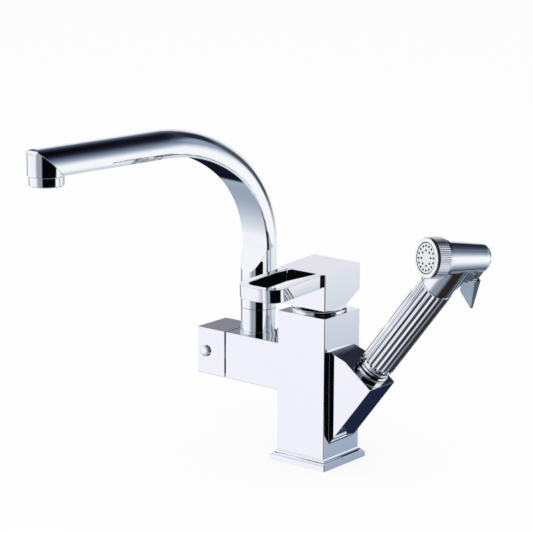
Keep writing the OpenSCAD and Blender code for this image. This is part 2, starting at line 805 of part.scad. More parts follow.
// The trigger: a tapering blade behind the grip, with a tongue that hinges in the bracket's slot
module trigger() {
    in_top = [trig_py + 1.4, blade_top];
    low = trig_pz - trigger_l;
    in_low = in_top + (blade_top - low) * [tan(blade_lean), -1];
    top_w = bracket_w / 2 + 0.5;
    w = trigger_w / 2;
    color(chrome) on_head() difference() {
        union() {
            across(tongue_w) polygon(concat(half_round([trig_py, trig_pz], 3.2, 0),
                [[trig_py - 3.2, trig_pz - 2], in_top + [0.9, -1.6], in_top + [6, -1.6]]));
            intersection() {
                across(2 * w) polygon([in_top, in_low, in_low + [1.9, 0],
                                       [bracket_end + 2.3, blade_top + 1.8],
                                       [bracket_end + 1, blade_top + 2.4],
                                       [bracket_end + 1, blade_top]]);
                translate([0, 100, 0]) rotate([90, 0, 0]) linear_extrude(100) blade_plan(top_w, w, low);
            }
        }
        translate([0, trig_py, trig_pz]) rod_x(-20, 20, pin_d + 2 * run_fit);
    }
}

// The blade from behind: a little wider at its foot, with small rounded corners
module blade_plan(top_w, w, low) {
    c = 1.5;
    polygon([[-top_w, 0], [top_w, 0], [w, low + c], [w - c, low], [-w + c, low], [-w, low + c]]);
    for (x = [-1, 1]) translate([x * (w - c), low + c]) circle(r = c, $fn = 32);
}

// The plunger that the trigger pushes into the neck
module valve_plunger() {
    color("silver") on_head() translate([0, plunger_in, plunger_z]) rotate([-90, 0, 0]) {
        cylinder(d = plunger_d, h = plunger_l);
        translate([0, 0, plunger_l]) sphere(d = plunger_d, $fn = 32);
    }
}

base_flange();
base_gasket();
column_body();
side_arm();
holster();
socket_collar();
guide_bush();
dome_collar();
cartridge_nut();
cartridge_housing();
riser_base_ring();
riser_collar();
swivel_nipple();
swivel_o_rings();
diverter_gland();
spout_tube();
spout_bush();
aerator_housing();
aerator_insert();
aerator_washer();
cartridge_rotor();
lever_pin();
lever_stem();
lever_block();
lever_loop();
lever_set_screw();
diverter_spindle();
diverter_knob();
knob_peg();
hose_nut();
grip_ferrule();
fluted_grip();
spray_head();
knurled_ring();
front_rim();
spray_face();
face_gasket();
trigger_pin();
trigger();
valve_plunger();
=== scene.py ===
"""Looks, studio and camera of a square single-lever kitchen mixer with a swivel spout and a hand spray."""

import json
import logging
import math
from collections.abc import Callable, Sequence
from dataclasses import dataclass, field
from enum import Enum

import bpy
from mathutils import Matrix, Vector


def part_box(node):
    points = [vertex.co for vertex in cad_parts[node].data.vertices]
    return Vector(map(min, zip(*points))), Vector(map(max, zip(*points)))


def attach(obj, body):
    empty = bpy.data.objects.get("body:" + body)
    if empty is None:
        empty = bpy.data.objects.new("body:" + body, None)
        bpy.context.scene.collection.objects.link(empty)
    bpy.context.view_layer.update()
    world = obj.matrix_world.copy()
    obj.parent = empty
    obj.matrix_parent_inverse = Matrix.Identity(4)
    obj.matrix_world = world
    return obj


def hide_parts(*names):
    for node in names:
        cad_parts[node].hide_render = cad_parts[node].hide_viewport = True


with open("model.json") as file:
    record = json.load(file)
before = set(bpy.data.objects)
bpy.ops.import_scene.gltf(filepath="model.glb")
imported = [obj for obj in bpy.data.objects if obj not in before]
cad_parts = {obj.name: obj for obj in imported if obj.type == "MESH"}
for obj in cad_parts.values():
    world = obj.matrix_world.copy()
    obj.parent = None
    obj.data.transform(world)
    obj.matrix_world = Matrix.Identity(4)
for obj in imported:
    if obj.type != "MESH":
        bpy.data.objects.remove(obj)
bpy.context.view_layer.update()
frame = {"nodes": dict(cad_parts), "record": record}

MM = 0.001
# Points closer than this are one point, in a new piece and in a CAD mesh, in millimetres
WELD = 0.002
CAD_WELD = 0.003
# Faces of a CAD mesh that meet flatter than this are one face, in degrees
FLAT = 0.6
# The greatest angle between faces that is shaded smooth on an eased piece, in degrees
SOFT = 44.0
# How far a cutter goes past the face that it cuts, in millimetres
PAST = 1.0
FULL_TURN = 360.0
log = logging.getLogger("faucet")

Colour = tuple[float, float, float]
Place = tuple[float, float, float]
Profile = Sequence[tuple[float, float]]
WHITE: Colour = (1.0, 1.0, 1.0)


# Shader arithmetic


class Wire:
    """A node's output that takes part in arithmetic, each step of which adds a Math node."""

    def __init__(self, graph: "Graph", value: bpy.types.NodeSocket | bpy.types.Node) -> None:
        """Keep the value and the graph that its steps are added to.

        Args:
            graph: The graph that the steps go into.
            value: An output socket, or a node that has no output.
        """
        self.graph = graph
        self.value = value

    def math(self, operation: str, *others: "Wire | float") -> "Wire":
        """Put this value through one Math node.

        Args:
            operation: The Math node's operation.
            *others: The node's further values.

        Returns:
            The node's result.
        """
        return self.graph.node("ShaderNodeMath", {"operation": operation}, [self, *others])

    def __add__(self, other: "Wire | float") -> "Wire":
        """This value plus another."""
        return self.math("ADD", other)

    def __sub__(self, other: "Wire | float") -> "Wire":
        """This value less another."""
        return self.math("SUBTRACT", other)

    def __mul__(self, other: "Wire | float") -> "Wire":
        """This value times another."""
        return self.math("MULTIPLY", other)

    def __abs__(self) -> "Wire":
        """The value without its sign."""
        return self.math("ABSOLUTE")

    def ramped(self, low: float, high: float, start: float = 0.0, end: float = 1.0) -> "Wire":
        """Map low..high smoothly onto start..end and hold it there.

        Args:
            low: The value that gives start.
            high: The value that gives end.
            start: The result up to low.
            end: The result from high on.

        Returns:
            The eased result.
        """
        return self.graph.node("ShaderNodeMapRange", {"interpolation_type": "SMOOTHSTEP"},
                               [self, low, high, start, end])


class Graph:
    """The node tree of a material or of the world, with one way of adding a node."""

    def __init__(self, owner: bpy.types.Material | bpy.types.World) -> None:
        """Empty the owner's tree.

        Args:
            owner: A material or the world.
        """
        owner.use_nodes = True
        self.tree = owner.node_tree
        self.tree.nodes.clear()

    def node(self, kind: str, settings: dict[str, object] | None = None,
             inputs: dict | Sequence = (), out: int | str = 0) -> Wire:
        """Add one node.

        Args:
            kind: The node's type.
            settings: Its settings, set before its sockets; "stops" holds a ramp's stops.
            inputs: Values or wires for its sockets, in order or by name.
            out: The output that is returned, by number or name.

        Returns:
            The chosen output, or the node itself when it has none.
        """
        made = self.tree.nodes.new(kind)
        for name, value in (settings or {}).items():
            if name == "stops":
                self._stops(made.color_ramp, value)
            else:
                setattr(made, name, value)
        pairs = inputs.items() if isinstance(inputs, dict) else enumerate(inputs)
        for key, value in pairs:
            if isinstance(value, Wire):
                self.tree.links.new(value.value, made.inputs[key])
            else:
                made.inputs[key].default_value = value
        return Wire(self, made.outputs[out] if made.outputs else made)

    @staticmethod
    def _stops(ramp: bpy.types.ColorRamp, stops: list[tuple[float, Colour]]) -> None:
        """Set a ramp's stops.

        Args:
            ramp: The ramp.
            stops: Places from 0 to 1, each with its colour.
        """
        while len(ramp.elements) > 1:
            ramp.elements.remove(ramp.elements[-1])
        for i, (place, colour) in enumerate(stops):
            stop = ramp.elements[0] if i == 0 else ramp.elements.new(place)
            stop.position = place
            stop.color = (*colour, 1.0)

    def mix(self, factor: Wire | float, first: Wire | Colour, second: Wire | Colour) -> Wire:
        """Mix two colours.

        Args:
            factor: How much of the second.
            first: The first colour or wire.
            second: The second colour or wire.

        Returns:
            The mixed colour.
        """
        first, second = ((*c, 1.0) if isinstance(c, tuple) else c for c in (first, second))
        factor_in, first_in, second_in, colour_out = 0, 6, 7, 2
        values = {factor_in: factor, first_in: first, second_in: second}
        return self.node("ShaderNodeMix", {"data_type": "RGBA"}, values, out=colour_out)

    def place(self) -> Wire:
        """The point on the piece, in metres."""
        return self.node("ShaderNodeTexCoord", out="Object")

    def noise(self, scale: float, detail: float = 2.0, roughness: float = 0.5) -> Wire:
        """Soft noise over the piece.

        Args:
            scale: How many features to the metre.
            detail: How many finer layers.
            roughness: How strong the finer layers are.

        Returns:
            The noise, about 0.5.
        """
        values = {"Vector": self.place(), "Scale": scale, "Detail": detail, "Roughness": roughness}
        return self.node("ShaderNodeTexNoise", {}, values)

    def bump(self, height: Wire, depth: float, strength: float = 1.0) -> Wire:
        """Turn a height into a normal.

        Args:
            height: The height, from 0 to 1.
            depth: The height of 1, in metres.
            strength: The share of it that shows.

        Returns:
            The normal.
        """
        return self.node("ShaderNodeBump", {}, {"Strength": strength, "Distance": depth, "Height": height})

    def surface(self, **sockets: Wire | float) -> None:
        """End the graph in a Principled shader.

        Args:
            **sockets: Its sockets, with _ for a space.
        """
        values = {name.replace("_", " "): value for name, value in sockets.items()}
        shader = self.node("ShaderNodeBsdfPrincipled", {}, values)
        self.node("ShaderNodeOutputMaterial", {}, [shader])


# Finishes


@dataclass(frozen=True)
class Chrome:
    """Polished chrome plate on brass, with the faint ripple and haze that buffing leaves."""

    name: str = "polished_chrome"
    tone: Colour = (0.93, 0.94, 0.955)
    haze: float = 0.03
    ripple: float = 0.00001
    haze_scale: float = 60.0
    ripple_scale: float = 38.0
    # The share of the tone where the noise is low
    dulled: float = 0.985
    # The noise over which the roughness changes, and the roughness there as shares of the haze
    noise_range: tuple[float, float] = (0.35, 0.75)
    haze_range: tuple[float, float] = (0.6, 1.5)

    def material(self) -> bpy.types.Material:
        """Make the finish."""
        made = bpy.data.materials.new(self.name)
        graph = Graph(made)
        haze = graph.noise(self.haze_scale, detail=3.0)
        ripple = graph.noise(self.ripple_scale, detail=1.0)
        tone = graph.mix(haze, tuple(self.dulled * c for c in self.tone), self.tone)
        least, most = (self.haze * share for share in self.haze_range)
        graph.surface(Base_Color=tone, Metallic=1.0, Roughness=haze.ramped(*self.noise_range, least, most),
                      Normal=graph.bump(ripple, self.ripple))
        return made


@dataclass(frozen=True)
class Satin:
    """A matt or half-matt plain stuff: rubber, moulded plastic, bare brass or steel."""

    name: str
    tone: Colour
    roughness: float
    metallic: float = 0.0
    grain: float = 900.0
    relief: float = 0.00002
    relief_share: float = 0.5
    patch_scale: float = 80.0
    # The share of the tone where the noise is low
    dulled: float = 0.9
    # The noise over which the roughness changes, and the shares of it there
    noise_range: tuple[float, float] = (0.3, 0.7)
    rough_range: tuple[float, float] = (0.85, 1.15)

    def material(self) -> bpy.types.Material:
        """Make the finish."""
        made = bpy.data.materials.new(self.name)
        graph = Graph(made)
        grain = graph.noise(self.grain, detail=4.0, roughness=0.6)
        patch = graph.noise(self.patch_scale)
        tone = graph.mix(patch, tuple(self.dulled * c for c in self.tone), self.tone)
        least, most = (self.roughness * share for share in self.rough_range)
        graph.surface(Base_Color=tone, Metallic=self.metallic,
                      Roughness=grain.ramped(*self.noise_range, least, most),
                      Normal=graph.bump(grain, self.relief, self.relief_share))
        return made


class Finish(Enum):
    """The finishes of the mixer's pieces."""

    CHROME = Chrome()
    KNURL = Chrome("knurled_chrome", (0.93, 0.92, 0.945), 0.11)
    BRASS = Satin("bare_brass", (0.62, 0.45, 0.2), 0.3, 1.0)
    STEEL = Satin("stainless_steel", (0.58, 0.58, 0.6), 0.25, 1.0)
    # Black rubber; also used as painted shade for the ring in the spray rim's groove and for the jets in
    # the spray plate's holes.
    RUBBER_AND_SHADE = Satin("black_rubber_and_painted_shade", (0.02, 0.02, 0.022), 0.7)
    PLASTIC = Satin("white_plastic", (0.75, 0.75, 0.73), 0.4)
    GREY_PLASTIC = Satin("dark_plastic", (0.06, 0.06, 0.065), 0.45)
    PLATE = Satin("spray_plate", (0.8, 0.8, 0.8), 0.35)

    def material(self) -> bpy.types.Material:
        """The finish's material, made once."""
        return bpy.data.materials.get(self.value.name) or self.value.material()


SLOTS = {"chrome": Finish.CHROME, "brass": Finish.BRASS, "steel": Finish.STEEL, "rubber": Finish.RUBBER_AND_SHADE,
         "white_plastic": Finish.PLASTIC, "dark_plastic": Finish.GREY_PLASTIC, "spray_plate": Finish.PLATE}
SLOT_OF = {row["node"]: row["material_slot"] for row in frame["record"]["subparts"]}


def dress(piece: bpy.types.Object, finish: Finish) -> None:
    """Give a piece one finish.

    Args:
        piece: The piece, a CAD node or a new one.
        finish: Its finish.
    """
    piece.data.materials.clear()
    piece.data.materials.append(finish.material())


# Modelling steps


class Bench:
    """Modelling steps as by hand. Lengths are in millimetres, and a piece is made upright at the origin."""

    @staticmethod
    def clear() -> None:
        """Deselect every object."""
        bpy.ops.object.select_all(action="DESELECT")

    @staticmethod
    def take(*pieces: bpy.types.Object) -> None:
        """Select these pieces only.

        Args:
            *pieces: The pieces, of which the first becomes the active one.
        """
        Bench.clear()
        for piece in pieces:
            piece.select_set(True)
        bpy.context.view_layer.objects.active = pieces[0]

    @staticmethod
    def edit() -> None:
        """Go into edit mode with all of the mesh selected."""
        bpy.ops.object.mode_set(mode="EDIT")
        bpy.ops.mesh.select_all(action="SELECT")

    @staticmethod
    def pick(piece: bpy.types.Object, test: Callable[[Vector], bool]) -> None:
        """Select the vertices that pass a test, from edit mode and back to it.

        Args:
            piece: The piece in edit mode.
            test: Takes a point in millimetres and says whether it is wanted.
        """
        bpy.ops.mesh.select_mode(type="VERT")
        bpy.ops.mesh.select_all(action="DESELECT")
        bpy.ops.object.mode_set(mode="OBJECT")
        for vertex in piece.data.vertices:
            vertex.select = test(vertex.co / MM)
        bpy.ops.object.mode_set(mode="EDIT")

    @staticmethod
    def swell(factor: float, height: float) -> None:
        """Scale what is selected sideways, about the axis, by a factor."""
        bpy.ops.transform.resize(value=(factor, factor, 1.0), center_override=(0, 0, height * MM))

    @staticmethod
    def finish_edit(closed: bool = True) -> None:
        """Join points that coincide and leave edit mode.

        Args:
            closed: Whether the faces are also turned outwards, which a CAD mesh doesn't need.
        """
        bpy.ops.mesh.select_all(action="SELECT")
        bpy.ops.mesh.remove_doubles(threshold=WELD * MM)
        if closed:
            bpy.ops.mesh.normals_make_consistent(inside=False)
        bpy.ops.object.mode_set(mode="OBJECT")

    @staticmethod
    def modify(piece: bpy.types.Object, kind: str, **settings: object) -> None:
        """Add a modifier and apply it.

        Args:
            piece: The piece.
            kind: The modifier's type.
            **settings: Its settings.
        """
        Bench.take(piece)
        made = piece.modifiers.new(kind.lower(), kind)
        for name, value in settings.items():
            setattr(made, name, value)
        bpy.ops.object.modifier_apply(modifier=made.name)

    @staticmethod
    def smooth(piece: bpy.types.Object, angle: float = 40.0) -> None:
        """Smooth the shading across edges flatter than an angle in degrees."""
        Bench.take(piece)
        bpy.ops.object.shade_smooth_by_angle(angle=math.radians(angle))

    @staticmethod
    def ease(piece: bpy.types.Object, width: float, angle: float = 34.0, rounds: int = 2,
             soft: float = SOFT) -> None:
        """Round a piece's edges, and keep its flat faces flat to the eye.

        Args:
            piece: The piece.
            width: The rounding's width.
            angle: The least angle of an edge that is rounded, in degrees.
            rounds: How many strips the rounding has.
            soft: The greatest angle that is shaded smooth, in degrees.
        """
        Bench.modify(piece, "BEVEL", width=width * MM, segments=rounds, limit_method="ANGLE",
                     angle_limit=math.radians(angle), miter_outer="MITER_ARC")
        Bench.smooth(piece, soft)
        Bench.modify(piece, "WEIGHTED_NORMAL", keep_sharp=True)

    @staticmethod
    def turned(name: str, profile: Profile, sides: int = 64) -> bpy.types.Object:
        """Turn a piece from a disc that is drawn out step by step.

        Args:
            name: The piece's name.
            profile: Radius and height of each step, from the bottom up.
            sides: How many sides the round has.

        Returns:
            The closed piece.
        """
        Bench.clear()
        radius, height = profile[0]
        bpy.ops.mesh.primitive_circle_add(vertices=sides, radius=radius * MM, fill_type="NGON",
                                          location=(0, 0, height * MM))
        piece = bpy.context.object
        piece.name = piece.data.name = name
        bpy.ops.object.transform_apply()
        Bench.edit()
        for wide, high in profile[1:]:
            rise = (0, 0, (high - height) * MM)
            bpy.ops.mesh.extrude_region_move(TRANSFORM_OT_translate={"value": rise})
            Bench.swell(wide / radius, high)
            radius, height = wide, high
        Bench.finish_edit()
        return piece

    @staticmethod
    def cut(piece: bpy.types.Object, cutter: bpy.types.Object) -> None:
        """Cut a cutter out of a piece and remove it.

        Args:
            piece: The piece.
            cutter: The closed shape to take away.
        """
        Bench.modify(piece, "BOOLEAN", operation="DIFFERENCE", solver="EXACT", object=cutter)
        bpy.data.objects.remove(cutter)

    @staticmethod
    def copies(piece: bpy.types.Object, places: list[Matrix]) -> bpy.types.Object:
        """Set copies of a piece at several places and join them.

        Args:
            piece: The piece, which is used up.
            places: Where the copies go.

        Returns:
            The joined copies.
        """
        made = []
        for at in places:
            Bench.take(piece)
            bpy.ops.object.duplicate(linked=False)
            bpy.context.object.matrix_world = at
            made.append(bpy.context.object)
        name = piece.name
        bpy.data.objects.remove(piece)
        Bench.take(*made)
        bpy.ops.object.join()
        joined = bpy.context.object
        joined.name = joined.data.name = name
        bpy.ops.object.transform_apply()
        return joined

    @staticmethod
    def settle(piece: bpy.types.Object, at: Matrix) -> None:
        """Move a piece to its place and put the place in its mesh.

        Args:
            piece: The piece.
            at: Its place, in metres.
        """
        Bench.take(piece)
        piece.matrix_world = at
        bpy.ops.object.transform_apply()


def shift(x: float, y: float, z: float) -> Matrix:
    """A move, in millimetres."""
    return Matrix.Translation(Vector((x, y, z)) * MM)


def turn(angle: float, axis: str) -> Matrix:
    """A turn in degrees about X, Y or Z."""
    return Matrix.Rotation(math.radians(angle), 4, axis)


# Sub-assemblies


@dataclass
class SubAssembly:
    """The pieces that move with one body: eased ones, new ones, and the rest as the CAD has them."""

    body: str
    # The rounding's width of each node that is eased
    eased: dict[str, float] = field(default_factory=dict)
    # The greatest smooth angle of a node, where it isn't SOFT
    soft: dict[str, float] = field(default_factory=dict)
    finishes: dict[str, Finish] = field(default_factory=dict)

    def build(self) -> None:
        """Make the pieces and dress them."""
        for node, width in self.eased.items():
            self.ease_node(node, width)
        self.model()
        for node in frame["record"]["behaviour"]["bodies"][self.body]:
            self.dress_node(node)

    def model(self) -> None:
        """Make the new pieces; a plain sub-assembly has none."""

    def finish_of(self, node: str) -> Finish:
        """The finish of a node, its own or its slot's."""
        return self.finishes.get(node) or SLOTS[SLOT_OF[node]]

    def dress_node(self, node: str) -> None:
        """Dress one CAD node."""
        dress(frame["nodes"][node], self.finish_of(node))
        log.info("%s: %s in %s", self.body, node, self.finish_of(node).value.name)

    def ease_node(self, node: str, width: float) -> None:
        """Replace a CAD node by a copy of it with rounded edges.

        Args:
            node: The node.
            width: The rounding's width in millimetres.
        """
        source = frame["nodes"][node]
        piece = bpy.data.objects.new(f"{node}_eased", source.data.copy())
        bpy.context.scene.collection.objects.link(piece)
        Bench.take(piece)
        bpy.ops.mesh.customdata_custom_splitnormals_clear()
        Bench.edit()
        bpy.ops.mesh.remove_doubles(threshold=CAD_WELD * MM)
        bpy.ops.mesh.dissolve_limited(angle_limit=math.radians(FLAT))
        Bench.finish_edit(closed=False)
        Bench.ease(piece, width, soft=self.soft.get(node, SOFT))
        self.add(piece, self.finish_of(node), SLOT_OF[node], node)

    def add(self, piece: bpy.types.Object, finish: Finish, slot: str, *nodes: str) -> None:
        """Dress a finished piece, let it ride on the body and hide the CAD nodes that it replaces.

        Args:
            piece: The piece, in its place.
            finish: Its finish.
            slot: The record's slot of that finish; not used.
            *nodes: The CAD nodes that it replaces.
        """
        dress(piece, finish)
        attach(piece, self.body)
        if nodes:
            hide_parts(*nodes)
        log.info("%s: %s made, %d faces", self.body, piece.name, len(piece.data.polygons))


@dataclass
class Spout(SubAssembly):
    """The swivelling spout, with the wire screen in its aerator."""

    screen_radius: float = 8.2
    screen_height: float = 257.5
    outlet: tuple[float, float] = (-94.24, -220.83)
    meshes: int = 18
    wire: float = 0.28

    def model(self) -> None:
        """Make the screen: a fine grid, cut round and given thickness."""
        Bench.clear()
        bpy.ops.mesh.primitive_grid_add(x_subdivisions=self.meshes, y_subdivisions=self.meshes,
                                        size=2 * self.screen_radius * MM)
        screen = bpy.context.object
        screen.name = screen.data.name = "aerator_screen"
        Bench.edit()
        Bench.pick(screen, lambda p: math.hypot(p.x, p.y) > self.screen_radius)
        bpy.ops.mesh.delete(type="VERT")
        bpy.ops.object.mode_set(mode="OBJECT")
        Bench.modify(screen, "WIREFRAME", thickness=self.wire * MM, use_even_offset=False)
        Bench.settle(screen, shift(*self.outlet, self.screen_height))
        self.add(screen, Finish.STEEL, "steel")


@dataclass
class Diverter(SubAssembly):
    """The square knob in the arm's end, with its domed peg."""

    peg_radius: float = 5.3
    peg_out: float = 2.4
    peg_foot: float = 0.3
    foot_inset: float = 0.9
    flare: float = 0.5
    stud_radius: float = 2.4
    stud_length: float = 4.0
    dome_steps: int = 8
    rounding: float = 0.15
    # How far the CAD's peg stands out of the knob
    cad_out: float = 3.6

    def model(self) -> None:
        """Turn the peg: a stud that sits in the knob, a short foot and a low dome."""
        low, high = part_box("knob_peg")
        wide = self.peg_radius
        foot = wide - self.foot_inset
        rim = self.peg_foot + self.flare
        steps = [(self.stud_radius, -self.stud_length), (self.stud_radius, 0.0), (foot, 0.0),
                 (foot, self.peg_foot), (wide, rim)]
        for step in range(1, self.dome_steps):
            at = math.radians(step * 90 / self.dome_steps)
            steps.append((wide * math.cos(at), rim + (self.peg_out - rim) * math.sin(at)))
        peg = Bench.turned("knob_peg_domed", steps)
        Bench.ease(peg, self.rounding, angle=50.0)
        middle = (low + high) / 2 / MM
        Bench.settle(peg, shift(middle.x, low.y / MM + self.cad_out, middle.z) @ turn(90, "X"))
        self.add(peg, Finish.CHROME, "chrome", "knob_peg")


@dataclass
class HandSpray(SubAssembly):
    """The fluted grip and the spray head with its rim, its jets, whose black is painted shade of their
    holes, and a black ring of painted shade in the rim's groove.
    """

    mouth: Place = (53.0, 0.0, 82.9)
    tilt: float = 37.6
    grip_base: float = 12.9
    grip_length: float = 91.0
    grip_radius: float = 14.0
    bore_radius: float = 8.0
    bore_sides: int = 48
    flutes: int = 20
    # A flute's depth, step by step from the middle of a land to the middle of the flute
    groove: tuple[float, ...] = (0.0, 0.04, 0.3, 0.74, 1.05, 1.21, 1.26)
    # Distance from the grip's end, and the share of the flutes' depth there
    run_out: tuple[tuple[float, float], ...] = ((0.7, 0.0), (0.9, 0.28), (1.3, 0.6), (1.9, 0.86),
                                                (2.7, 1.0))
    head_at: float = 136.6
    head_turn: float = 19.4
    head_droop: float = 6.7
    face_out: float = 32.2
    rim: tuple[float, float] = (12.6, 15.8)
    rim_depth: float = 2.4
    rim_rounding: float = 0.12
    ring_sides: int = 96
    neck_inset: float = 1.9
    lip: float = 1.0
    # The lip's lower corner, inwards and upwards, and its upper corner
    lip_corners: tuple[float, float, float] = (0.35, 0.3, 0.45)
    # The black ring of painted shade in the groove between rim and knurled ring: how far its bore lies in
    # from the rim
    shade_ring_bore_inset: float = 1.85
    # How far the painted-shade ring's ends and its middle lie in from the lip
    shade_ring_insets: tuple[float, float] = (0.75, 0.5)
    # The painted-shade ring's clearance in the groove, and where its middle starts
    shade_ring_heights: tuple[float, float] = (0.02, 0.3)
    plate_radius: float = 11.8
    plate_sunk: float = 0.2
    # How many jets each ring has, and its share of the plate's radius
    rings: tuple[tuple[int, float], ...] = ((8, 0.51), (16, 0.82))
    jet_profile: Profile = ((0.78, -1.2), (0.78, -0.02), (0.95, -0.02), (0.95, 0.1), (0.75, 0.3),
                            (0.42, 0.3), (0.36, -0.5))
    jet_sides: int = 16

    @property
    def grip_frame(self) -> Matrix:
        """The socket's mouth, with Z along the grip."""
        return shift(*self.mouth) @ turn(self.tilt, "Y")

    @property
    def face_frame(self) -> Matrix:
        """The head's centre, with Z out of the spray face."""
        head = self.grip_frame @ shift(0, 0, self.head_at)
        return head @ turn(-self.head_turn, "Z") @ turn(90 + self.head_droop, "X")

    def model(self) -> None:
        """Make the grip, the rim, the black ring of painted shade in the rim's groove and the jets."""
        self._grip()
        self._rim()
        self._groove_shade()
        self._jets()

    def _grip(self) -> None:
        """A tube whose flutes are pressed in ring by ring, and run out before its ends."""
        steps = 2 * (len(self.groove) - 1)
        sides = self.flutes * steps
        length = self.grip_length
        Bench.clear()
        bpy.ops.mesh.primitive_cylinder_add(vertices=sides, radius=self.grip_radius * MM, depth=length * MM,
                                            location=(0, 0, length / 2 * MM), end_fill_type="NGON")
        grip = bpy.context.object
        grip.name = grip.data.name = "fluted_grip_rounded"
        bpy.ops.object.transform_apply()
        levels = [*self.run_out, *((length - z, share) for z, share in self.run_out)]
        same_level = 0.01
        for z, _ in levels:
            Bench.edit()
            bpy.ops.mesh.bisect(plane_co=(0, 0, z * MM), plane_no=(0, 0, 1))
            bpy.ops.object.mode_set(mode="OBJECT")
        Bench.edit()
        for z, share in levels:
            for phase, depth in enumerate(self.groove):
                if share * depth > 0.0:
                    Bench.pick(grip, lambda p: abs(p.z - z) < same_level and self._phase(p, steps) == phase)
                    Bench.swell(1.0 - share * depth / self.grip_radius, z)
        Bench.finish_edit()
        bore = [(self.bore_radius, -PAST), (self.bore_radius, length + PAST)]
        Bench.cut(grip, Bench.turned("bore", bore, self.bore_sides))
        Bench.smooth(grip, angle=50.0)
        Bench.settle(grip, self.grip_frame @ shift(0, 0, self.grip_base))
        self.add(grip, Finish.CHROME, "chrome", "fluted_grip")

    def _phase(self, point: Vector, steps: int) -> int:
        """How many steps a point is away from the middle of the nearest land."""
        at = round(math.atan2(point.y, point.x) / math.tau * self.flutes * steps) % steps
        return min(at, steps - at)

    def _ring(self, name: str, bore: float, profile: Profile) -> bpy.types.Object:
        """A turned ring: a solid less its bore.

        Args:
            name: The piece's name.
            bore: The bore's radius.
            profile: The outside's radii and heights, from the bottom up.

        Returns:
            The ring, upright at the origin.
        """
        ring = Bench.turned(name, profile, self.ring_sides)
        cutter = [(bore, profile[0][1] - PAST), (bore, profile[-1][1] + PAST)]
        Bench.cut(ring, Bench.turned("bore", cutter, self.ring_sides))
        return ring

    def _rim(self) -> None:
        """The bright rim: a neck in a groove, and a rounded lip."""
        inner, outer = self.rim
        top = self.face_out
        neck = outer - self.neck_inset
        under = top - self.lip
        inset, rise, crown = self.lip_corners
        rim = self._ring("front_rim_lipped", inner, [
            (neck, top - self.rim_depth), (neck, under), (outer - inset, under), (outer, under + rise),
            (outer, top - crown), (outer - crown, top)])
        Bench.ease(rim, self.rim_rounding, angle=30.0)
        Bench.settle(rim, self.face_frame)
        self.add(rim, Finish.CHROME, "chrome", "front_rim")

    def _groove_shade(self) -> None:
        """A black ring in the groove between rim and knurled ring: painted shade for the dark of the
        groove.
        """
        outer = self.rim[1]
        low, high = self.face_out - self.rim_depth, self.face_out - self.lip
        end, middle = (outer - inset for inset in self.shade_ring_insets)
        clear, rise = self.shade_ring_heights
        shade_ring = self._ring("rim_groove_painted_shade", outer - self.shade_ring_bore_inset, [
            (end, low + clear), (middle, low + rise), (middle, high - rise), (end, high - clear)])
        Bench.smooth(shade_ring)
        Bench.settle(shade_ring, self.face_frame)
        # The black finish here is painted shade of the groove.
        self.add(shade_ring, Finish.RUBBER_AND_SHADE, "rubber")

    def _jets(self) -> None:
        """Nozzles in the plate's two rings of holes, black as painted shade of the dark holes."""
        plate = self.face_out - self.plate_sunk
        jet = Bench.turned("spray_jets_painted_shade", self.jet_profile, self.jet_sides)
        Bench.smooth(jet)
        places = []
        for count, share in self.rings:
            for index in range(count):
                places.append(self.face_frame @ turn(index * FULL_TURN / count, "Z")
                              @ shift(share * self.plate_radius, 0, plate))
        jets = Bench.copies(jet, places)
        # The jets' black finish is painted shade of the holes.
        self.add(jets, Finish.RUBBER_AND_SHADE, "rubber")


# Studio


@dataclass(frozen=True)
class Card:
    """A soft-edged card of the studio, placed and sized in degrees as the mixer sees it.

    Azimuth 0 is towards the camera, and azimuths grow towards the photograph's right.
    """

    azimuth: float
    elevation: float
    half_width: float
    half_height: float
    edge: float
    tone: Colour
    strength: float = 1.0


@dataclass(frozen=True)
class Lamp:
    """A broad soft lamp, in metres and watts."""

    name: str
    place: Place
    size: float
    watts: float


@dataclass(frozen=True)
class PhotoCamera:
    """The camera that was solved on the photograph's straight edges, in metres."""

    at: Place = (1.113177, -1.473154, 0.601461)
    right: Place = (0.78279, 0.62227, 0.00445)
    up: Place = (-0.14712, 0.17811, 0.97295)
    back: Place = (0.60464, -0.76227, 0.23097)
    far_clip: float = 100.0
    # The focal length and the photograph's width in pixels, and the sensor's width in millimetres
    focal_pixels: float = 2318.12
    photo_pixels: float = 533.0
    sensor: float = 36.0

    def build(self) -> None:
        """Make it the scene's camera."""
        data = bpy.data.cameras.new("photo_camera")
        data.sensor_width = self.sensor
        data.lens = self.focal_pixels * self.sensor / self.photo_pixels
        data.clip_end = self.far_clip
        camera = bpy.data.objects.new("photo_camera", data)
        bpy.context.scene.collection.objects.link(camera)
        pose = Matrix((self.right, self.up, self.back)).transposed().to_4x4()
        pose.translation = Vector(self.at)
        camera.matrix_world = pose
        bpy.context.scene.camera = camera


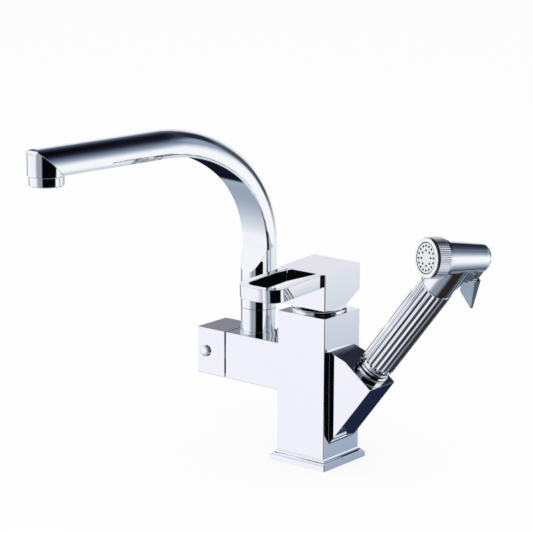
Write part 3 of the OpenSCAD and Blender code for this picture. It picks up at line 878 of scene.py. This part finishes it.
@dataclass
class Studio:
    """The floor, the soft light, the surroundings that the chrome mirrors and the camera, in metres."""

    # Level directions towards the camera and towards the photograph's right
    toward: tuple[float, float] = (0.6214, -0.7835)
    aside: tuple[float, float] = (0.7835, 0.6214)
    room_tone: Colour = (0.9, 0.9, 0.9)
    floor_size: float = 40.0
    floor_drop: float = 0.0002
    floor_tone: Colour = (0.9, 0.9, 0.905)
    floor_glow: float = 0.86
    lamps: tuple[Lamp, ...] = (Lamp("key", (0.9, -1.3, 1.6), 1.6, 9.0),
                               Lamp("fill", (-1.5, -0.6, 1.2), 1.8, 5.0))
    lamp_aim: Place = (0, 0, 0.12)
    camera: PhotoCamera = PhotoCamera()
    # The grey card's middle, width and height, and tone
    flag_at: Place = (-0.295, 0.27, 0.19)
    flag_size: tuple[float, float] = (0.16, 0.1)
    flag_tone: Colour = (0.25, 0.25, 0.29)
    cards: list[Card] = field(default_factory=lambda: [
        Card(132, 10, 16, 17, 8, (0.06, 0.08, 0.1)),
        Card(-38, 5, 26, 60, 26, (0.16, 0.2, 0.26), 0.8),
        Card(21, 10, 44, 38, 6, (0.002, 0.002, 0.003)),
        Card(-80, -10, 20, 12, 7, (0.95, 0.94, 1.02)),
        Card(-104, 36, 30, 19, 5, (0.97, 0.97, 1.0)),
        Card(177, 14, 15, 11, 6, (0.82, 0.8, 0.87)),
        Card(142, 33, 17, 9, 4, (0.02, 0.023, 0.037)),
        Card(111, 27, 10, 8, 5, (0.28, 0.36, 0.47)),
        Card(114, -25, 13, 10, 5, (0.26, 0.35, 0.5)),
        Card(-142, -17, 13, 8, 4, (0.27, 0.33, 0.44)),
        Card(40, -70, 72, 16, 6, (0.028, 0.02, 0.012)),
        Card(106, -60, 10, 5, 4, (0.1, 0.12, 0.15)),
        Card(122, -56, 9, 6, 3, (0.02, 0.03, 0.07)),
        Card(147, -39, 17, 7, 4, (0.013, 0.019, 0.05)),
        Card(-169, -29, 15, 14, 3, (0.006, 0.008, 0.018)),
        Card(-104, -62, 32, 13, 6, (0.95, 0.94, 1.0)),
    ])
    # The surroundings' tone by elevation in degrees, where no card stands
    sky: list[tuple[float, Colour]] = field(default_factory=lambda: [
        (-90, (0.10, 0.13, 0.16)), (-62, (0.14, 0.17, 0.21)), (-50, (0.21, 0.27, 0.34)),
        (-43, (0.35, 0.42, 0.52)), (-36, (0.54, 0.6, 0.68)), (-28, (0.74, 0.79, 0.84)),
        (-20, (0.98, 0.99, 1.0)), (3, (0.98, 0.99, 1.0)), (11, (0.68, 0.74, 0.81)),
        (19, (0.38, 0.45, 0.55)), (28, (0.18, 0.23, 0.31)), (38, (0.07, 0.09, 0.13)),
        (45, (0.015, 0.018, 0.035)), (52, (0.003, 0.003, 0.004)),
    ])

    def build(self) -> None:
        """Make the floor, the surroundings, the lamps and the camera."""
        self._floor()
        self._world()
        self._flag()
        self._lamps()
        self.camera.build()

    def _floor(self) -> None:
        """A plain pale floor that keeps a faint shadow."""
        bpy.ops.mesh.primitive_plane_add(size=self.floor_size, location=(0, 0, -self.floor_drop))
        floor = bpy.context.object
        floor.name = "floor"
        floor.visible_glossy = False
        made = bpy.data.materials.new("pale_floor")
        graph = Graph(made)
        light = graph.node("ShaderNodeLightPath", out="Is Camera Ray")
        matt = graph.node("ShaderNodeBsdfDiffuse", {}, [(*self.floor_tone, 1.0)])
        glow = graph.node("ShaderNodeEmission", {}, [(*WHITE, 1.0), 1.0])
        both = graph.node("ShaderNodeMixShader", {}, [light * self.floor_glow, matt, glow])
        graph.node("ShaderNodeOutputMaterial", {}, [both])
        floor.data.materials.append(made)

    def _world(self) -> None:
        """White for the camera, an even tone for matt surfaces, and sky and cards for mirrors."""
        world = bpy.data.worlds.new("studio")
        bpy.context.scene.world = world
        graph = Graph(world)
        ray = graph.node("ShaderNodeTexCoord", out="Generated")
        parts = graph.node("ShaderNodeSeparateXYZ", {}, [ray]).value.node
        x, y, z = (Wire(graph, parts.outputs[i]) for i in range(3))
        height = z.math("ARCSINE") * math.degrees(1.0)
        front = x * self.toward[0] + y * self.toward[1]
        side = x * self.aside[0] + y * self.aside[1]
        around = side.math("ARCTAN2", front) * math.degrees(1.0)
        lowest = self.sky[0][0]
        span = self.sky[-1][0] - lowest
        stops = [((at - lowest) / span, tone) for at, tone in self.sky]
        share = (height - lowest) * (1.0 / span)
        tone = graph.node("ShaderNodeValToRGB", {"stops": stops}, [share])
        for card in self.cards:
            # The azimuth past the card's middle, folded to half a turn to either side
            past = around - (card.azimuth - 1.5 * FULL_TURN)
            off = past.math("FLOORED_MODULO", FULL_TURN) - 0.5 * FULL_TURN
            wide, high = card.half_width, card.half_height
            across = abs(off).ramped(wide - card.edge, wide + card.edge, 1.0, 0.0)
            up = abs(height - card.elevation).ramped(high - card.edge, high + card.edge, 1.0, 0.0)
            tone = graph.mix(across * up * card.strength, tone, card.tone)
        path = graph.node("ShaderNodeLightPath").value.node
        glossy = Wire(graph, path.outputs["Is Glossy Ray"])
        camera = Wire(graph, path.outputs["Is Camera Ray"])
        seen = graph.mix(glossy, self.room_tone, tone)
        seen = graph.mix(camera, seen, WHITE)
        back = graph.node("ShaderNodeBackground", {}, [seen, 1.0])
        graph.node("ShaderNodeOutputWorld", {}, [back])

    def _flag(self) -> None:
        """A grey card close behind the mixer, for the tops of the side arm and the knob.

        From the photograph's side those tops mirror it, and the lever block's top doesn't.
        """
        bpy.ops.mesh.primitive_plane_add(size=1.0, location=self.flag_at)
        flag = bpy.context.object
        flag.name = "flag"
        flag.scale = (*self.flag_size, 1.0)
        flag.rotation_euler = Vector((*self.toward, 0.0)).to_track_quat("Z", "Y").to_euler()
        flag.visible_camera = flag.visible_diffuse = flag.visible_shadow = False
        made = bpy.data.materials.new("grey_card")
        graph = Graph(made)
        glow = graph.node("ShaderNodeEmission", {}, [(*self.flag_tone, 1.0), 1.0])
        graph.node("ShaderNodeOutputMaterial", {}, [glow])
        flag.data.materials.append(made)

    def _lamps(self) -> None:
        """Two broad soft lamps, for the matt pieces and the faint shadow."""
        for lamp in self.lamps:
            data = bpy.data.lights.new(lamp.name, "AREA")
            data.energy = lamp.watts
            data.size = lamp.size
            made = bpy.data.objects.new(lamp.name, data)
            bpy.context.scene.collection.objects.link(made)
            made.location = lamp.place
            aim = Vector(self.lamp_aim) - Vector(lamp.place)
            made.rotation_euler = aim.to_track_quat("-Z", "Y").to_euler()
            made.visible_glossy = False


def main() -> None:
    """Build the studio, then the mixer sub-assembly by sub-assembly."""
    logging.basicConfig(level=logging.INFO, format="%(name)s: %(message)s")
    Bench.clear()
    Studio().build()
    assemblies = [
        SubAssembly("base", eased={"base_flange": 0.3, "column_body": 0.3, "side_arm": 0.3, "holster": 0.3,
                                   "dome_collar": 0.3, "riser_collar": 0.2}),
        Spout("spout", eased={"aerator_housing": 0.25, "spout_tube": 0.5}, soft={"spout_tube": 12.0}),
        SubAssembly("lever_carrier"),
        SubAssembly("lever", eased={"lever_block": 0.35, "lever_loop": 0.5}),
        Diverter("diverter", eased={"diverter_knob": 0.35}),
        HandSpray("hand_spray", finishes={"knurled_ring": Finish.KNURL}),
        SubAssembly("trigger", eased={"trigger": 0.3}),
        SubAssembly("plunger"),
    ]
    for assembly in assemblies:
        assembly.build()
    bpy.context.scene.view_settings.view_transform = "Standard"


if __name__ == "__main__":
    main()
